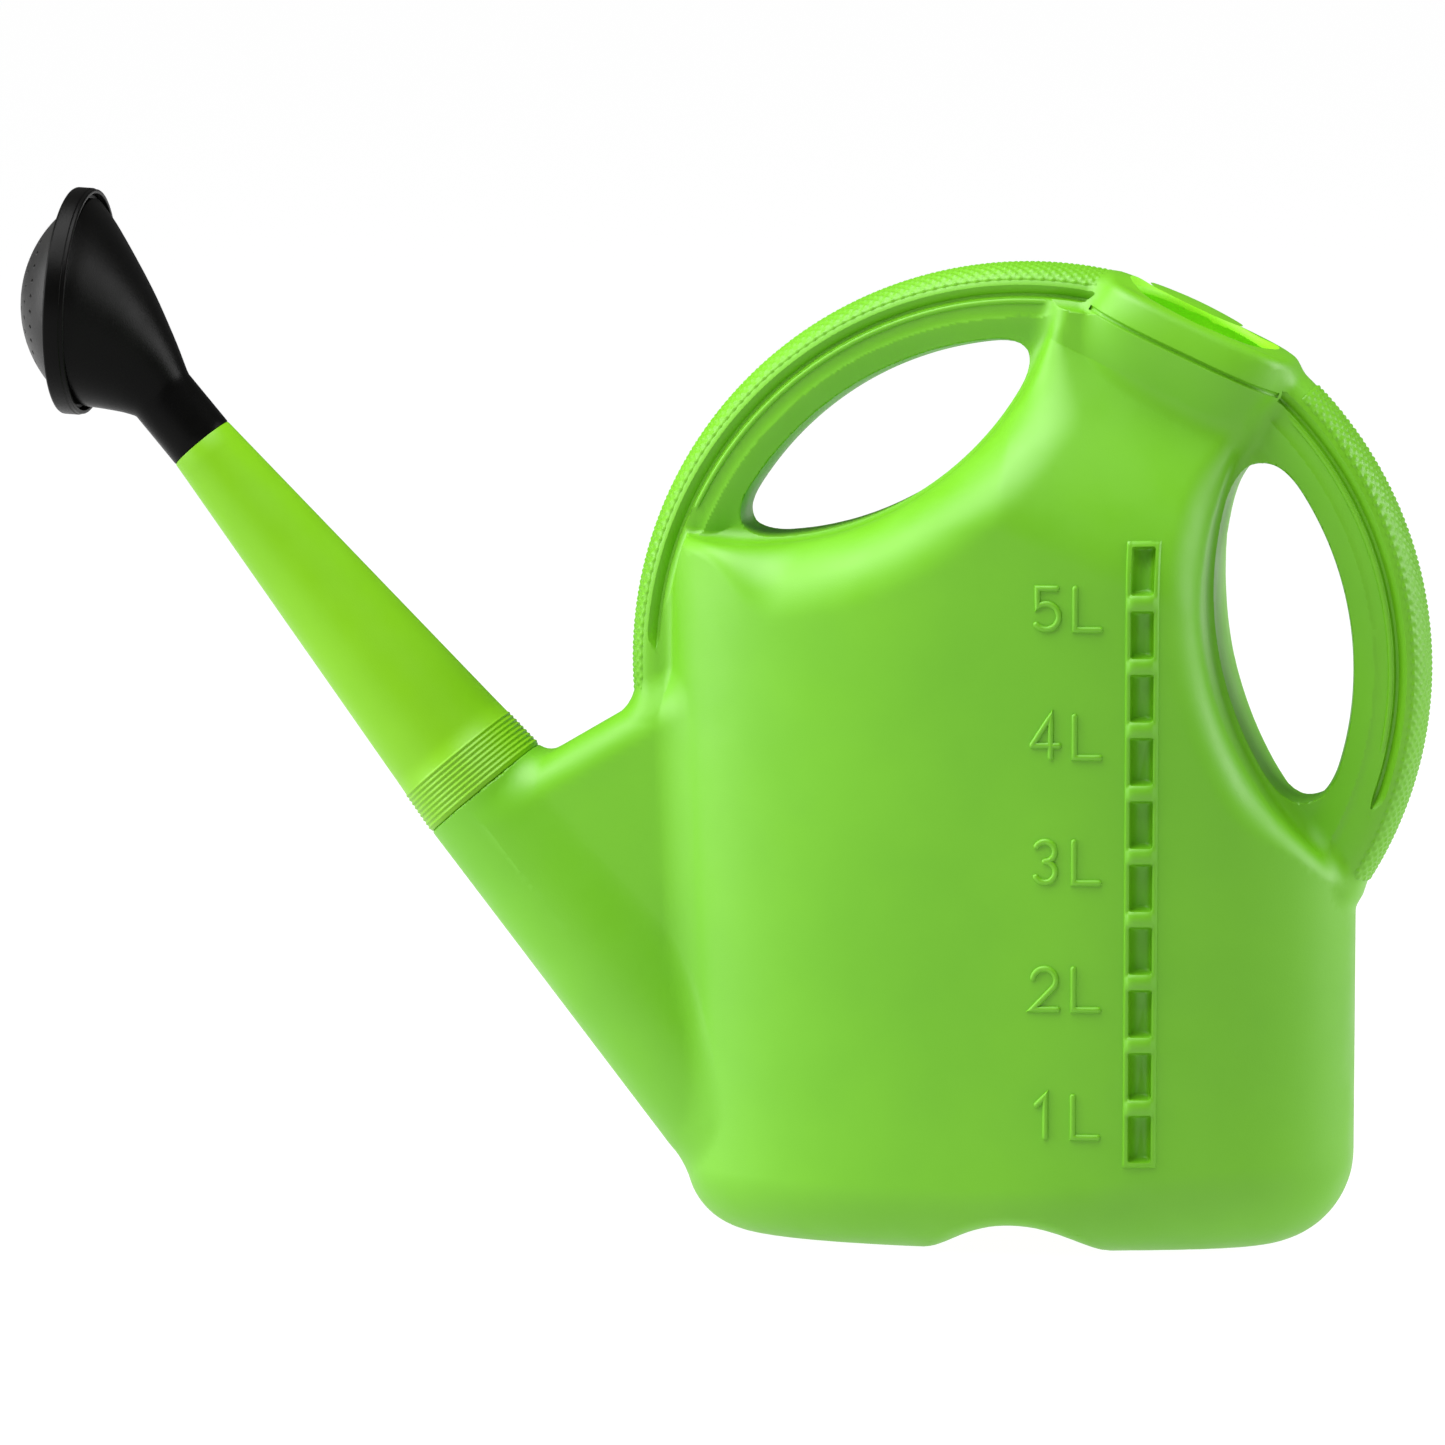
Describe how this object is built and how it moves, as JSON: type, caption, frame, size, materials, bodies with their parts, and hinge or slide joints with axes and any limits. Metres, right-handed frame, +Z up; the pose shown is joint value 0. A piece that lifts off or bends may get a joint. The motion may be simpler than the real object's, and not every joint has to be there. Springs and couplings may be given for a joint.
{
  "type": "watering can",
  "caption": "Garden watering can: green blow-moulded tank with a ring handle, a litre gauge, a tapered spout tube and a black bent rose.",
  "frame": {"origin": "middle of the whole can's footprint, on the ground", "axes": "+X from the rose towards the back of the ring handle, +Z up, the gauge is on the -Y face"},
  "size_m": [0.4986, 0.1127, 0.3624],
  "materials": {
    "green_polyethylene": "satin",
    "tube_polyethylene": "satin",
    "black_polypropylene": "satin",
    "seal_rubber": "matte"
  },
  "bodies": {
    "can": {"tank": "green_polyethylene", "front_grip": "green_polyethylene", "back_grip": "green_polyethylene", "spout_stub": "green_polyethylene"},
    "lower_seal": {"spout_seal": "seal_rubber"},
    "spout": {"spout_tube": "tube_polyethylene"},
    "upper_seal": {"rose_seal": "seal_rubber"},
    "rose": {"rose_housing": "black_polypropylene"},
    "rose_face": {"rose_plate": "black_polypropylene", "rose_ring": "black_polypropylene"}
  },
  "joints": [
    {"name": "spout_pull", "type": "slide", "parent": "can", "child": "lower_seal", "axis": [-0.6455, 0, 0.7638], "range_m": [0, 0.04]},
    {"name": "spout_turn", "type": "hinge", "parent": "lower_seal", "child": "spout", "pos_m": [-0.08378, 0, 0.1525], "axis": [-0.6455, 0, 0.7638], "continuous": true},
    {"name": "rose_pull", "type": "slide", "parent": "spout", "child": "upper_seal", "axis": [-0.6455, 0, 0.7638], "range_m": [0, 0.04]},
    {"name": "rose_turn", "type": "hinge", "parent": "upper_seal", "child": "rose", "pos_m": [-0.18544, 0, 0.2728], "axis": [-0.6455, 0, 0.7638], "continuous": true},
    {"name": "face_off", "type": "slide", "parent": "rose", "child": "rose_face", "axis": [-0.9986, 0, 0.0523], "range_m": [0, 0.03]}
  ]
}
